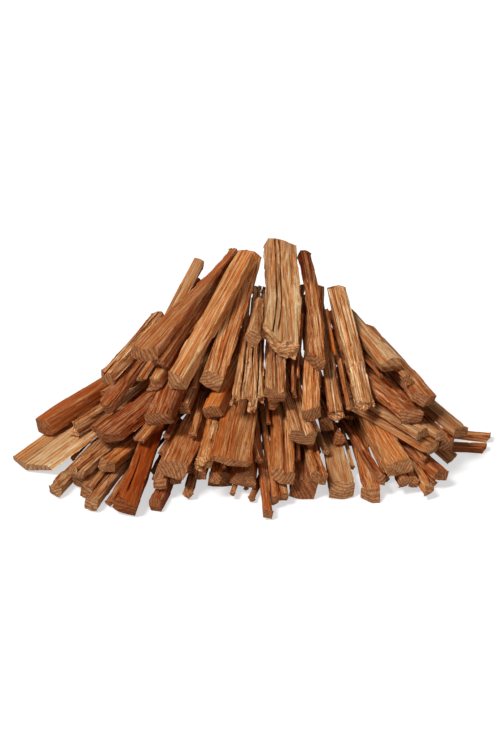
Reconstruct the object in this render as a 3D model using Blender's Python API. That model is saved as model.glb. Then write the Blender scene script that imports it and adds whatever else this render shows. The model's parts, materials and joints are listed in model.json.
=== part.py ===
"""A loose heap of fatwood: hand-split sticks of resin-rich pine, laid in a fan.

Every stick is a closed solid of its own. The laying plan gives each one its place and heading as
seen from above, its size and its split form. How high it lies, how it slopes and how it leans are
not in the plan: each stick comes down on those laid before it, lowest course first.

Front is -Y, right is +X, up is +Z. The origin is on the ground, under the middle of the heap.
"""

import math
from typing import NamedTuple

import bpy
import numpy as np
from mathutils import Matrix
from mathutils.geometry import tessellate_polygon

MM = 0.001
GAP = 0.3 * MM  # left between a stick and what it lies on

# Sawing and splitting.
LENGTH = 200  # mm, the length that the sticks were sawn to
LENGTH_STRAY = 3  # mm
WHOLE = (1.0, 0.95)  # share of the size at the foot and at the head of an even split
DRAWN = (1.0, 0.62)  # the same for a split that runs thin
STATIONS = (0.0, 0.13, 0.29, 0.45, 0.61, 0.78, 0.9, 1.0)
STATION_STRAY = 0.03  # share of the length that an inner station strays
WAVE = 0.07  # how far a split edge wanders, as a share of the width or thickness
SLOW_WAVES = 0.7  # waves in a stick's length
QUICK_WAVES = 1.9
QUICK_WAVE = 0.5  # size of the quick waves against the slow ones
CUT_STRAY = 0.09  # slope of a sawn end against a square cut
BOW_STRAY = 1.5  # mm that the middle of a stick strays sideways
TWIST_STRAY = 5.0  # degrees from end to end
STEP_DROP = 0.3  # share of the thickness that an upper face steps down
STEP_RUN = 0.012  # share of the length that the step takes

# How a stick settles on those below it.
SETTLING_ROUNDS = 10
STEEPEST = math.radians(34)
MOST_LEAN = math.radians(12)
SEARCH_STEPS = 14
UPRIGHT_FACE = 1e-12  # square metres in plan: a triangle under this has nothing over or under it

WOODS = {
    "pale_tan_wood": (0.62, 0.38, 0.20),
    "honey_wood": (0.52, 0.26, 0.11),
    "amber_wood": (0.42, 0.17, 0.055),
    "russet_wood": (0.30, 0.10, 0.035),
}
PALE, HONEY, AMBER, RUSSET = WOODS
WOOD_ROUGHNESS = 0.62

# Sections seen from the foot, anticlockwise, as shares of the stick's width and thickness.
SECTIONS = {
    "billet": (
        (-0.50, -0.40), (-0.08, -0.50), (0.49, -0.45), (0.50, 0.38), (0.06, 0.50), (-0.45, 0.44),
    ),
    "slab": ((-0.50, -0.28), (0.00, -0.50), (0.50, -0.40), (0.47, 0.30), (0.04, 0.50), (-0.48, 0.42)),
    "wedge": ((-0.50, -0.46), (0.04, -0.50), (0.50, -0.38), (0.46, -0.02), (0.08, 0.50), (-0.36, 0.20)),
    "lean": ((-0.34, -0.50), (0.12, -0.46), (0.50, -0.42), (0.36, 0.40), (-0.02, 0.50), (-0.50, 0.36)),
    "grooved": (
        (-0.50, -0.38), (-0.05, -0.50), (0.50, -0.42), (0.48, 0.40), (0.16, 0.50),
        (0.05, 0.12), (-0.06, 0.46), (-0.46, 0.42),
    ),
    "level": ((-0.50, -0.50), (0.00, -0.50), (0.50, -0.50), (0.46, 0.36), (0.04, 0.50), (-0.44, 0.42)),
}


class Stick(NamedTuple):
    name: str
    wood: str
    form: str
    foot: tuple  # x and y of the middle of its foot end, mm
    turn: float  # degrees that its foot points to the right of straight ahead
    size: tuple  # width and thickness, mm
    roll: float = 0.0  # degrees about its own length, upper side to the right
    taper: tuple = DRAWN
    length: float = LENGTH
    bow: float = 0.0  # mm that its middle stands out to the right
    step: float = 0.0  # share of the length where its upper face steps down towards the foot


class Sheaf(NamedTuple):
    """Slim sticks that lie side by side, as one solid of their joint form."""

    name: str
    wood: str
    foot: tuple
    turn: float
    members: tuple  # of each: mm to the right, mm forward, degrees of splay, width and thickness
    taper: tuple = DRAWN
    length: float = LENGTH


PLAN = (
    # The first course, on the ground.
    Stick("far_right_stick", AMBER, "lean", (247, 139), 84, (18, 10), length=180),
    Stick("far_right_upper_stick", HONEY, "lean", (254, 164), 79, (16, 10), length=180),
    Stick("middle_ground_stick", HONEY, "level", (-30, 62), -5, (26, 17), taper=WHOLE),
    Stick("three_cornered_stick", AMBER, "wedge", (-5, 36), -3, (27, 21), taper=WHOLE),
    Sheaf("front_middle_sheaf", AMBER, (25, 5), 5, (
        (-8, 12, 0, 10, 12), (1, -8, 0, 11, 12), (10, -14, 1, 10, 13))),
    Stick("end_on_front_stick", RUSSET, "billet", (53, 34), 0, (27, 22)),
    Stick("front_yellow_stick", PALE, "billet", (91, 35), 4, (26, 18)),
    Stick("front_bent_stick", AMBER, "billet", (120, 28), 6, (20, 15), bow=4),
    Sheaf("right_ground_sheaf", HONEY, (153, 46), 12, (
        (-11, -16, -1, 13, 12), (0, 8, 0, 13, 13), (10, 3, 1, 14, 12), (21, 20, 2, 13, 12))),
    Stick("right_ground_stick", RUSSET, "billet", (192, 51), 31, (16, 12), length=170),
    Stick("narrow_cracked_stick", HONEY, "grooved", (69, 28), 5.7, (16, 16)),
    Stick("slim_middle_stick", AMBER, "wedge", (92, 108), 12, (13, 16)),
    Stick("round_ended_stick", HONEY, "billet", (78, 108), 7, (15, 17)),
    Stick("pale_rimmed_stick", HONEY, "billet", (149, 42), 14.4, (28, 15)),
    Stick("right_low_brown_stick", RUSSET, "lean", (131, 35), 15.5, (9, 13)),
    Stick("front_left_dark_stick", RUSSET, "lean", (-93, 9), -10, (14, 14), taper=WHOLE),
    Sheaf("front_left_small_sheaf", RUSSET, (-62, 44), -8, (
        (-24, 20, -3, 14, 12), (-12, 6, -2, 15, 13), (0, -14, 0, 14, 12), (12, -4, 2, 15, 14)),
        taper=WHOLE),
    Sheaf("left_ground_sheaf", PALE, (-178, 40), -19, (
        (-15, 9, -2, 15, 13), (1, -16, 0, 18, 12), (17, -2, 2, 15, 14), (31, 22, 2, 15, 13)),
        taper=WHOLE),
    # The second course.
    Stick("right_side_stick", PALE, "billet", (183, 58), 43, (18, 11), length=160),
    Sheaf("right_pale_sheaf", PALE, (173, 62), 36, (
        (-6, 2, -3, 12, 10), (6, -4, 3, 13, 10), (17, 8, 4, 12, 10)), length=160),
    Stick("right_outer_stick", HONEY, "billet", (208, 108), 50, (15, 13), length=150),
    Stick("right_ridged_stick", RUSSET, "grooved", (201, 90), 28, (18, 14), length=180),
    Stick("right_grey_stick", PALE, "billet", (214, 96), 32, (20, 12), taper=WHOLE, length=180),
    Stick("left_low_tan_stick", PALE, "grooved", (-173, 47), -24, (18, 14), taper=WHOLE),
    Stick("left_low_banded_stick", HONEY, "billet", (-145, 60), -24, (18, 14), taper=WHOLE),
    Stick("far_left_slab", PALE, "slab", (-228, 92), -36, (54, 9), roll=4, taper=WHOLE),
    Stick("front_russet_stick", AMBER, "billet", (-122, -2), -10, (24, 16), taper=WHOLE),
    Stick("left_yellow_stick", PALE, "lean", (-184, 134), -39, (16, 16), taper=WHOLE),
    Stick("big_amber_stick", AMBER, "billet", (-77, 24), -11.7, (30, 18), roll=28, taper=WHOLE),
    Stick("splintered_foot_stick", PALE, "billet", (-46, 18), -5.7, (18, 15), taper=WHOLE),
    Stick("cracked_front_stick", HONEY, "grooved", (33, 25), 1, (24, 18), taper=WHOLE),
    Stick("central_plank", HONEY, "slab", (-19, 20), -5, (42, 9), taper=(1, 0.8)),
    # The third course.
    Stick("left_ridged_plank", RUSSET, "slab", (-149, 86), -38, (35, 16), taper=WHOLE),
    Stick("light_streaked_stick", HONEY, "lean", (-67, 102), -13, (13, 16), taper=WHOLE),
    Stick("broad_brown_stick", RUSSET, "billet", (-91, 62), -11, (30, 18), taper=WHOLE),
    Stick("ridged_middle_stick", PALE, "grooved", (53, 72), 8.5, (28, 18)),
    Stick("pointed_splinter", AMBER, "wedge", (46, 118), 0, (13, 12), taper=(0.4, 1), length=115),
    Stick("right_scuffed_stick", RUSSET, "billet", (161, 74), 26, (25, 14), taper=WHOLE),
    Stick("dark_tapered_stick", RUSSET, "wedge", (171, 102), 24, (11, 12), taper=(1, 0.4)),
    Stick("right_smooth_stick", RUSSET, "billet", (178, 92), 16, (22, 15), taper=WHOLE),
    Stick("right_rimmed_stick", HONEY, "lean", (160, 112), 16, (11, 12), length=140),
    Stick("right_shoulder_stick", PALE, "billet", (144, 120), 13, (22, 16), length=190),
    # The fourth course.
    Stick("small_orange_stick", HONEY, "billet", (-39, 92), -16, (20, 16), taper=WHOLE),
    Sheaf("upper_splinter_sheaf", PALE, (2, 88), -2, (
        (-17, 10, -3, 12, 14), (-8, -3, -2, 10, 12), (0, 5, 0, 10, 14), (8, -6, 1, 9, 12)),
        taper=WHOLE),
    Stick("holed_stick", PALE, "grooved", (26, 92), 0, (22, 17)),
    Stick(
        "ledged_pale_stick", PALE, "billet", (115, 90), 7, (22, 16), taper=WHOLE, length=185, step=0.3),
    Stick("ridged_tan_stick", PALE, "grooved", (87, 100), 4, (18, 15), taper=(1, 0.5)),
    Stick("slant_cut_stick", HONEY, "billet", (61, 84), -3, (20, 17), taper=WHOLE),
    Stick("back_left_long_stick", AMBER, "billet", (-217, 148), -48, (25, 19), length=206, taper=WHOLE),
    Stick("left_under_stick", RUSSET, "grooved", (-150, 124), -32, (19, 14), taper=WHOLE),
    Stick("left_ridged_end_stick", HONEY, "grooved", (-150, 152), -40, (19, 15), length=105, taper=WHOLE),
    Stick("small_pinkish_stick", HONEY, "billet", (-96, 100), -17, (13, 14), length=140, taper=WHOLE),
    # The peak.
    Stick("pale_back_stick", PALE, "billet", (-98, 150), -17, (14, 13), length=155, taper=WHOLE),
    Stick("two_faced_stick", HONEY, "billet", (-39, 110), -12, (24, 19), roll=35, taper=WHOLE),
    Stick("peak_block", PALE, "billet", (31, 142), -1, (39, 20), taper=WHOLE),
    Stick("narrow_brown_stick", RUSSET, "lean", (-90, 110), -22, (12, 14), taper=WHOLE),
    Stick("streaked_orange_stick", HONEY, "billet", (-75, 95), -22.5, (23, 16), taper=WHOLE),
    Stick("rising_sliver", AMBER, "billet", (-109, 112), -29, (34, 14), taper=(1, 0.2)),
    Stick("diamond_end_stick", PALE, "billet", (3, 140), -4, (15, 15), roll=45, length=95),
    Stick("charred_head_stick", HONEY, "billet", (68, 135), 3, (19, 17), taper=(1, 0.75), length=180, bow=4),
)


def shares_along(stick, chance):
    """Where along its length the stick has a section, as shares from the foot to the head."""
    shares = np.array(STATIONS)
    shares[1:-1] += chance.uniform(-STATION_STRAY, STATION_STRAY, len(shares) - 2)
    if stick.step:
        shares = np.append(shares, (stick.step, stick.step + STEP_RUN))
    return np.sort(shares)


def sections(stick, chance):
    """The stick's sections from foot to head: an array of (section, corner, xyz), along +Y, in mm."""
    corners = np.array(SECTIONS[stick.form])
    size = np.array(stick.size, dtype=float)
    shares = shares_along(stick, chance)
    length = stick.length + chance.uniform(-LENGTH_STRAY, LENGTH_STRAY)
    slow, quick = chance.uniform(-1, 1, (2,) + corners.shape)
    slow_start, quick_start = chance.uniform(0, math.tau, (2,) + corners.shape)
    twist = math.radians(chance.uniform(-TWIST_STRAY, TWIST_STRAY))
    bow = stick.bow + chance.uniform(-BOW_STRAY, BOW_STRAY)
    cuts = chance.uniform(-CUT_STRAY, CUT_STRAY, (2, 2))
    upright = stick.form != "level"
    rings = np.empty((len(shares), len(corners), 3))
    for ring, share in zip(rings, shares):
        wander = slow * np.sin(SLOW_WAVES * math.tau * share + slow_start)
        wander += QUICK_WAVE * quick * np.sin(QUICK_WAVES * math.tau * share + quick_start)
        wander[corners[:, 1] < 0] *= upright
        spread = stick.taper[0] + (stick.taper[1] - stick.taper[0]) * share
        points = (corners + WAVE * wander) * size * spread
        if stick.step and share <= stick.step:
            points[corners[:, 1] > 0, 1] -= STEP_DROP * size[1]
        turn = twist * (share - 0.5) * upright
        ring[:, 0] = points[:, 0] * math.cos(turn) + points[:, 1] * math.sin(turn)
        ring[:, 2] = points[:, 1] * math.cos(turn) - points[:, 0] * math.sin(turn)
        ring[:, 1] = share * length
        ring[:, 0] += bow * math.sin(math.pi * share)
    for end, cut in ((0, cuts[0]), (-1, cuts[1])):
        rings[end, :, 1] += rings[end, :, 0] * cut[0] + rings[end, :, 2] * cut[1]
    return rings


def cap(ring, outward):
    """Triangles that close a sawn end, facing outward, as corner numbers of its ring."""
    faces = np.array(tessellate_polygon([[tuple(point) for point in ring]]))
    a, b, c = ring[faces].transpose(1, 0, 2)
    facing_ahead = np.cross(b - a, c - a)[:, 1].sum()
    return faces if facing_ahead * outward > 0 else faces[:, ::-1]


def shell(rings):
    """Points and triangles of the closed solid through these sections."""
    count, corners = rings.shape[:2]
    faces = []
    for i in range(count - 1):
        for j in range(corners):
            a = i * corners + j
            b = i * corners + (j + 1) % corners
            faces += [(a, a + corners, b + corners), (a, b + corners, b)]
    foot = cap(rings[0], -1)
    head = cap(rings[-1], 1) + (count - 1) * corners
    return rings.reshape(-1, 3) * MM, np.vstack([faces, foot, head])


def stick_shape(stick, chance):
    return shell(sections(stick, chance))


def sheaf_sticks(sheaf):
    """The sheaf's members as sticks in the sheaf's own frame."""
    for right, forward, splay, width, thickness in sheaf.members:
        yield Stick(
            sheaf.name, sheaf.wood, "billet", (right, -forward), splay, (width, thickness),
            taper=sheaf.taper, length=sheaf.length,
        )


def sheaf_shapes(sheaf, chance):
    """Points and triangles of each member, where it lies in the sheaf."""
    shapes = []
    for stick in sheaf_sticks(sheaf):
        points, faces = stick_shape(stick, chance)
        shapes.append((moved(points, placing(stick)), faces))
    return shapes


def placing(piece, height=0.0, slope=0.0, lean=0.0):
    """The matrix that lays a piece at its place in the plan."""
    place = Matrix.Translation((piece.foot[0] * MM, piece.foot[1] * MM, height))
    turn = Matrix.Rotation(math.radians(piece.turn), 4, "Z")
    return place @ turn @ Matrix.Rotation(slope, 4, "X") @ Matrix.Rotation(lean, 4, "Y")


def moved(points, matrix):
    matrix = np.array(matrix)
    return points @ matrix[:3, :3].T + matrix[:3, 3]


def cross(a, b):
    """The plan's cross product of vectors whose last axis is x, y and perhaps z."""
    return a[..., 0] * b[..., 1] - a[..., 1] * b[..., 0]


def over_faces(points, faces):
    """For each point that stands over or under a face: the point's number and the face's height."""
    start = faces[:, 0]
    first = faces[:, 1] - start
    second = faces[:, 2] - start
    area = cross(first, second)
    away = points[:, None] - start
    share_first = cross(away, second) / area
    share_second = cross(first, away) / area
    inside = (share_first >= 0) & (share_second >= 0) & (share_first + share_second <= 1)
    height = start[:, 2] + share_first * first[:, 2] + share_second * second[:, 2]
    return np.nonzero(inside)[0], height[inside]


def edge_crossings(upper, lower):
    """Where edges cross in plan: the places, and how far the lower edge stands above the upper."""
    along = upper[:, None, 1] - upper[:, None, 0]
    across = lower[:, 1] - lower[:, 0]
    away = lower[:, 0] - upper[:, None, 0]
    turn = cross(along, across)
    share = cross(away, across) / turn
    share_lower = cross(away, along) / turn
    crossed = (share >= 0) & (share <= 1) & (share_lower >= 0) & (share_lower <= 1)
    places = upper[:, None, 0] + share[..., None] * along
    height = lower[:, 0, 2] + share_lower * across[:, 2]
    return places[crossed][:, :2], (height - places[..., 2])[crossed]


def edges_of(triangles):
    return np.concatenate([triangles[:, [0, 1]], triangles[:, [1, 2]], triangles[:, [2, 0]]])


def facing(triangles, up):
    """The triangles that face up, or those that face down."""
    area = cross(triangles[:, 1] - triangles[:, 0], triangles[:, 2] - triangles[:, 0])
    return triangles[area * (1 if up else -1) > UPRIGHT_FACE]


def near(triangles, points, turn):
    """The triangles that could meet the points in plan, tested along the stick and across it."""
    kept = np.ones(len(triangles), bool)
    for angle in (turn, turn + math.pi / 2):
        axis = np.array((math.cos(angle), math.sin(angle), 0.0))
        reach = points @ axis
        spans = triangles @ axis
        kept &= (spans.min(axis=1) < reach.max()) & (spans.max(axis=1) > reach.min())
    return triangles[kept]


def contacts(points, faces, laid, turn):
    """Places in plan where the piece could touch, and how far it must rise to clear each."""
    places = [points[:, :2]]
    rises = [-points[:, 2]]
    below = near(laid, points, turn)
    if len(below):
        underside = facing(points[faces], up=False)
        number, height = over_faces(points, below)
        places.append(points[number, :2])
        rises.append(height - points[number, 2] + GAP)
        tops = below.reshape(-1, 3)
        number, height = over_faces(tops, underside)
        places.append(tops[number, :2])
        rises.append(tops[number, 2] - height + GAP)
        crossed, rise = edge_crossings(edges_of(underside), edges_of(below))
        places.append(crossed)
        rises.append(rise + GAP)
    return np.concatenate(places), np.concatenate(rises)


def lowest(height, reach):
    """The argument between -reach and reach at which a convex function is lowest."""
    low, high = -reach, reach
    for _ in range(SEARCH_STEPS):
        third = (high - low) / 3
        if height(low + third) < height(high - third):
            high -= third
        else:
            low += third
    return (low + high) / 2


def resting_tilt(along, across, rises):
    """The two slopes at which the middle of the piece comes down furthest onto its contacts."""

    def lean_for(slope):
        lifted = rises - slope * along
        return lowest(lambda lean: (lifted - lean * across).max(), math.tan(MOST_LEAN))

    def middle_height(slope):
        return (rises - slope * along - lean_for(slope) * across).max()

    slope = lowest(middle_height, math.tan(STEEPEST))
    return slope, lean_for(slope)


def centre_of_mass(points, faces):
    a, b, c = points[faces].transpose(1, 0, 2)
    volumes = (a * np.cross(b, c)).sum(axis=1)
    return volumes @ (a + b + c) / 4 / volumes.sum()


def settle(piece, points, faces, laid, roll=0.0):
    """The matrix at which the piece lies lowest on the triangles laid before it."""
    turn = math.radians(piece.turn)
    ahead = np.array((-math.sin(turn), math.cos(turn)))
    right = np.array((math.cos(turn), math.sin(turn)))
    slope = lean = 0.0
    resting = None
    lowest_middle = math.inf
    for _ in range(SETTLING_ROUNDS):
        world = moved(points, placing(piece, 0.0, slope, roll + lean))
        middle = centre_of_mass(world, faces)
        places, rises = contacts(world, faces, laid, turn)
        if middle[2] + rises.max() < lowest_middle:
            lowest_middle = middle[2] + rises.max()
            resting = placing(piece, rises.max(), slope, roll + lean)
        away = places - middle[:2]
        more_slope, more_lean = resting_tilt(away @ ahead, away @ right, rises)
        slope = math.atan(math.tan(slope) + more_slope)
        lean = min(max(lean - math.atan(more_lean), -MOST_LEAN), MOST_LEAN)
    return resting


def wood_material(name, color):
    material = bpy.data.materials.new(name)
    material.use_nodes = True
    shader = material.node_tree.nodes["Principled BSDF"]
    shader.inputs["Base Color"].default_value = (*color, 1)
    shader.inputs["Roughness"].default_value = WOOD_ROUGHNESS
    shader.inputs["Metallic"].default_value = 0.0
    material.diffuse_color = (*color, 1)
    return material


def add_object(name, points, faces):
    mesh = bpy.data.meshes.new(name)
    mesh.from_pydata(points.tolist(), [], faces.tolist())
    piece = bpy.data.objects.new(name, mesh)
    bpy.context.scene.collection.objects.link(piece)
    return piece


def fused(name, shapes):
    """One object of overlapping shapes, joined where they overlap."""
    piece, *others = [add_object(name, points, faces) for points, faces in shapes]
    for other in others:
        union = piece.modifiers.new("union", "BOOLEAN")
        union.operation = "UNION"
        union.object = other
    graph = bpy.context.evaluated_depsgraph_get()
    joined = bpy.data.meshes.new_from_object(piece.evaluated_get(graph))
    piece.modifiers.clear()
    piece.data = joined
    for other in others:
        bpy.data.objects.remove(other)
    return piece


def build():
    for leftover in list(bpy.data.objects):
        bpy.data.objects.remove(leftover)
    materials = {name: wood_material(name, color) for name, color in WOODS.items()}
    laid = np.empty((0, 3, 3))
    pieces = []
    for number, plan in enumerate(PLAN):
        chance = np.random.default_rng(number)
        if isinstance(plan, Sheaf):
            shapes = sheaf_shapes(plan, chance)
            roll = 0.0
        else:
            shapes = [stick_shape(plan, chance)]
            roll = math.radians(plan.roll)
        points = np.vstack([shape[0] for shape in shapes])
        counts = np.cumsum([0] + [len(shape[0]) for shape in shapes])
        faces = np.vstack([shape[1] + count for shape, count in zip(shapes, counts)])
        matrix = settle(plan, points, faces, laid, roll)
        world = moved(points, matrix)
        laid = np.concatenate([laid, facing(world[faces], up=True)])
        piece = fused(plan.name, shapes)
        piece.data.materials.clear()
        piece.data.materials.append(materials[plan.wood])
        pieces.append((piece, matrix, world))
    everything = np.vstack([world for _, _, world in pieces])
    low, high = everything.min(axis=0), everything.max(axis=0)
    to_origin = Matrix.Translation((-(low[0] + high[0]) / 2, -(low[1] + high[1]) / 2, -low[2]))
    for piece, matrix, _ in pieces:
        piece.matrix_world = to_origin @ matrix


build()
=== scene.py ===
"""Looks of the heap of fatwood sticks.

Every stick is read off the frame's solids section by section, and then carved as split pine: growth
rings, fibres, cracks, chipped edges and torn or sawn ends. Carving goes inwards, and only thin slivers
on torn faces lift outwards. A sheaf's one solid is shown as the slim sticks that it stands for. More
slim sticks are laid in the room that the solids leave, first of all where the heap is seen through.
"""

import json
import math
from functools import partial
from typing import NamedTuple

import bpy
import numpy as np
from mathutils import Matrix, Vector
from mathutils.bvhtree import BVHTree


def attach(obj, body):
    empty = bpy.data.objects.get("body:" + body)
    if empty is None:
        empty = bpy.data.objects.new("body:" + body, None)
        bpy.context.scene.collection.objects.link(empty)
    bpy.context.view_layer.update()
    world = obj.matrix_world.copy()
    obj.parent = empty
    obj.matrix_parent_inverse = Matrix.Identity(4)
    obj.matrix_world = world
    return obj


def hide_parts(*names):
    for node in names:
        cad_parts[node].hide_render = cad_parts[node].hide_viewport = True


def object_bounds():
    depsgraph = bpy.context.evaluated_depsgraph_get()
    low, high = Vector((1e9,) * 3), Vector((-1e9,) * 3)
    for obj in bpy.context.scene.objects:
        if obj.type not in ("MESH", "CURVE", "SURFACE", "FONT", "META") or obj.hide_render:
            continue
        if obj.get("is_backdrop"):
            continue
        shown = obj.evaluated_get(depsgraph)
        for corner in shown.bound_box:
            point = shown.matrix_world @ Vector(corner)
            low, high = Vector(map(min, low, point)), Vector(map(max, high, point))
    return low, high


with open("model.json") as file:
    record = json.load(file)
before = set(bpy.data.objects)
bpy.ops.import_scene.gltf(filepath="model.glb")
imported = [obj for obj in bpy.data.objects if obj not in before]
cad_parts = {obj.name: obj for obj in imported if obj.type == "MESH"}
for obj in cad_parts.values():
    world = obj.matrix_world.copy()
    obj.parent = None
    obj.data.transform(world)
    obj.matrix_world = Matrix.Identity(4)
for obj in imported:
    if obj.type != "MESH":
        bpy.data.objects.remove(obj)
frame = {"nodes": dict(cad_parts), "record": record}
cad_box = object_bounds()

MM = 0.001
VIEW_ELEVATION = math.radians(25)
TO_CAMERA = Vector((0, -math.cos(VIEW_ELEVATION), math.sin(VIEW_ELEVATION)))

# How finely a stick is carved: from one column of points to the next round its section, and from
# one section to the next along it.
FINE = (1.0 * MM, 2.8 * MM)
COARSE = (1.5 * MM, 5.0 * MM)
CROWDING = 0.7  # how much closer the sections lie at the ends
DIRECTIONS = 360  # in which a section's outline is felt for
END_INSET = 0.02 * MM
CAP_RINGS = (0.96, 0.84, 0.7, 0.55, 0.4, 0.25, 0.12)  # rings of points across an end, as shares
MOST_SLANT = 1.0  # an end's slope against a square cut
END_ROUGHNESS = 0.45 * MM
LEAST_TORN = 2  # mm torn back from which a foot looks split and not sawn
SHARP = math.radians(40)
CORNER = 2.4 * MM  # how far from a split edge its chips reach
MOST_CARVED = 0.3  # share of the way in to its middle that a stick is carved at most
MOST_CRACKED = 0.45
CRACK_DEPTH = 4.5 * MM
LOWEST_SLIVER = -0.3  # no splinters on faces that look further down
MEMBER_GAP = 0.2 * MM  # between the sticks of one sheaf
END_FACING = 0.8  # a face belongs to an end where it faces this much along the stick
LEAST_END = 12 * MM * MM  # smaller patches of an end are where two sticks have grown together

# The slim sticks laid in the free room between the others.
DEEP_TRIES = 70000  # places looked at
DEEP_LINES = 8  # tried through each point
DEEP_SHIFTS = 12  # of the roomiest of these lines
DEEP_MOST = 120
DEEP_LENGTHS = (200, 185, 165, 140, 115, 90, 75)  # mm
DEEP_WIDEST = 8.5 * MM  # half its width
DEEP_SLIMMEST = 2.7 * MM
DEEP_RECESS = 7 * MM  # how far past both its ends it must still be sheltered
DEEP_WOODS = (0.15, 0.2, 0.35, 0.3)  # share of each wood, from pale to russet
DEEP_CLEAR = 0.4 * MM  # from a deep stick to its neighbours
DEEP_STRAY = 0.1  # how much its direction strays from that of the stick beside it
DEEP_SHIFT = 2 * MM
DEEP_SHELTER = 0.85  # least share of its length that lies between others
PLAIN_WORTH = 0.4  # of a deep stick that closes no gap
GAP_WORTH = 4.0  # added where it closes gaps along its whole length
DEEP_HOLD = 7 * MM  # how near something must be to each of its ends
LOW_DOWN = 1.7  # above 1 where room is looked for near the ground more than near the top


class Look(NamedTuple):
    """How one split stick looks. Shares go from 0 to 1."""

    ring: float = 2.8  # mm from one growth ring to the next
    ridged: float = 0.35  # share that the rings and fibres stand out
    torn: float = 0.15  # share of its faces and edges that is chipped and flaked
    light: float = 1.0  # brightness against others of its wood
    resin: float = 0.15  # share soaked red-brown
    weather: float = 0.1  # share gone grey
    cracks: int = 0
    crack_reach: float = 0.55  # share of its length that they run along, from the foot
    foot: float = 0.0  # mm that its foot is torn back, 0 where it is sawn
    foot_slant: float = 0.0  # slope that its foot is cut back at, to the right or to the left below 0
    head_slant: float = 0.0
    charred: float = 0.0  # share of its length that is blackened, at the head
    stain: float = 0.0  # -1 darker on its left, 1 darker on its right
    rim: float = 0.0  # share that its edges are paler


LOOKS = {
    "far_right_stick": Look(ridged=0.3, light=0.8, weather=0.3),
    "far_right_upper_stick": Look(ridged=0.6, light=0.95),
    "end_on_front_stick": Look(ring=3.5, light=0.8, weather=0.3, ridged=0.5),
    "front_yellow_stick": Look(ridged=0.15, resin=0.1, stain=-0.4),
    "front_bent_stick": Look(ring=3.2, ridged=0.55, light=1.15, resin=0.2, rim=0.4),
    "narrow_cracked_stick": Look(ridged=0.7, cracks=1, light=0.9),
    "round_ended_stick": Look(ridged=0.4, weather=0.4),
    "pale_rimmed_stick": Look(ridged=0.3, resin=0.45, rim=0.9, light=1.05, torn=0.3),
    "front_left_dark_stick": Look(ridged=0.4, light=0.7, resin=0.5),
    "right_ridged_stick": Look(ring=3.5, ridged=0.95, light=1.15),
    "right_grey_stick": Look(weather=0.7, ridged=0.4, light=0.8),
    "right_side_stick": Look(weather=0.3, light=0.9, resin=0.3),
    "left_low_tan_stick": Look(ring=3.0, ridged=0.8, light=1.05),
    "left_low_banded_stick": Look(ring=3.2, ridged=0.8, light=1.05, torn=0.3),
    "far_left_slab": Look(ring=4.6, ridged=0.15, light=1.3, resin=0.05, cracks=1, stain=-0.5, torn=0.05,
                          weather=0.0, rim=0.3),
    "front_russet_stick": Look(ring=4.1, ridged=0.25, resin=0.5, light=0.5, cracks=1, torn=0.1),
    "left_yellow_stick": Look(ring=3.0, ridged=0.8, light=1.15, torn=0.4, foot=5),
    "big_amber_stick": Look(ring=3.8, ridged=0.4, light=1.1, stain=0.5),
    "splintered_foot_stick": Look(ridged=0.6, torn=0.8, foot=9, resin=0.35),
    "cracked_front_stick": Look(ring=3.2, ridged=0.6, cracks=2, light=0.95, resin=0.3),
    "central_plank": Look(ring=3.0, ridged=0.45, resin=0.5, light=0.88, torn=0.2),
    "left_ridged_plank": Look(ring=3.0, ridged=0.85, light=0.95, weather=0.15, resin=0.35),
    "broad_brown_stick": Look(ring=3.0, ridged=0.7, torn=0.3, resin=0.25),
    "ridged_middle_stick": Look(ring=3.8, ridged=1.0, torn=0.3, resin=0.2),
    "pointed_splinter": Look(ridged=0.5, light=1.3, foot=4),
    "right_scuffed_stick": Look(ring=3.2, ridged=0.7, torn=0.7, light=1.1),
    "dark_tapered_stick": Look(light=0.75, ridged=0.4, resin=0.4),
    "right_smooth_stick": Look(ridged=0.15, light=1.1, weather=0.3, torn=0.05),
    "right_shoulder_stick": Look(ring=4.3, ridged=0.12, light=0.98, weather=0.35, torn=0.05, rim=0.3),
    "small_orange_stick": Look(ridged=0.4, resin=0.35),
    "upper_splinter_sheaf": Look(ridged=0.6, torn=0.85, foot=16, light=1.12, resin=0.1),
    "holed_stick": Look(ridged=0.7, weather=0.55, light=0.85, torn=0.4, foot_slant=-0.5),
    "ledged_pale_stick": Look(ring=3.5, ridged=0.75, torn=0.5, foot=5, resin=0.2, weather=0.25),
    "ridged_tan_stick": Look(ring=3.2, ridged=0.95, torn=0.3, foot=3, head_slant=-0.8),
    "slant_cut_stick": Look(ring=3.2, ridged=0.7, light=1.05, head_slant=-1.3),
    "left_under_stick": Look(ridged=0.6, light=0.9),
    "back_left_long_stick": Look(ring=4.1, ridged=0.2, light=0.84, resin=0.45, torn=0.05),
    "left_ridged_end_stick": Look(ring=2.7, ridged=0.7, light=1.02, weather=0.35),
    "pale_back_stick": Look(ring=4.1, ridged=0.15, light=1.1, torn=0.05),
    "two_faced_stick": Look(ring=3.0, ridged=0.6, stain=0.8, light=1.15, weather=0.15),
    "peak_block": Look(ring=3.4, ridged=0.25, torn=0.4, cracks=2, crack_reach=2.0, light=1.12, foot=4,
                       foot_slant=-1.6),
    "narrow_brown_stick": Look(ridged=0.4),
    "streaked_orange_stick": Look(ring=4.1, ridged=0.3, light=1.12, resin=0.2, rim=0.4),
    "rising_sliver": Look(ring=4.6, ridged=0.12, light=0.98, resin=0.32, weather=0.2, torn=0.05),
    "diamond_end_stick": Look(ridged=0.4, weather=0.25, torn=0.6),
    "charred_head_stick": Look(ring=3.4, ridged=1.0, light=1.05, charred=0.34, torn=0.3, foot_slant=-1.3),
}

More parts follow.
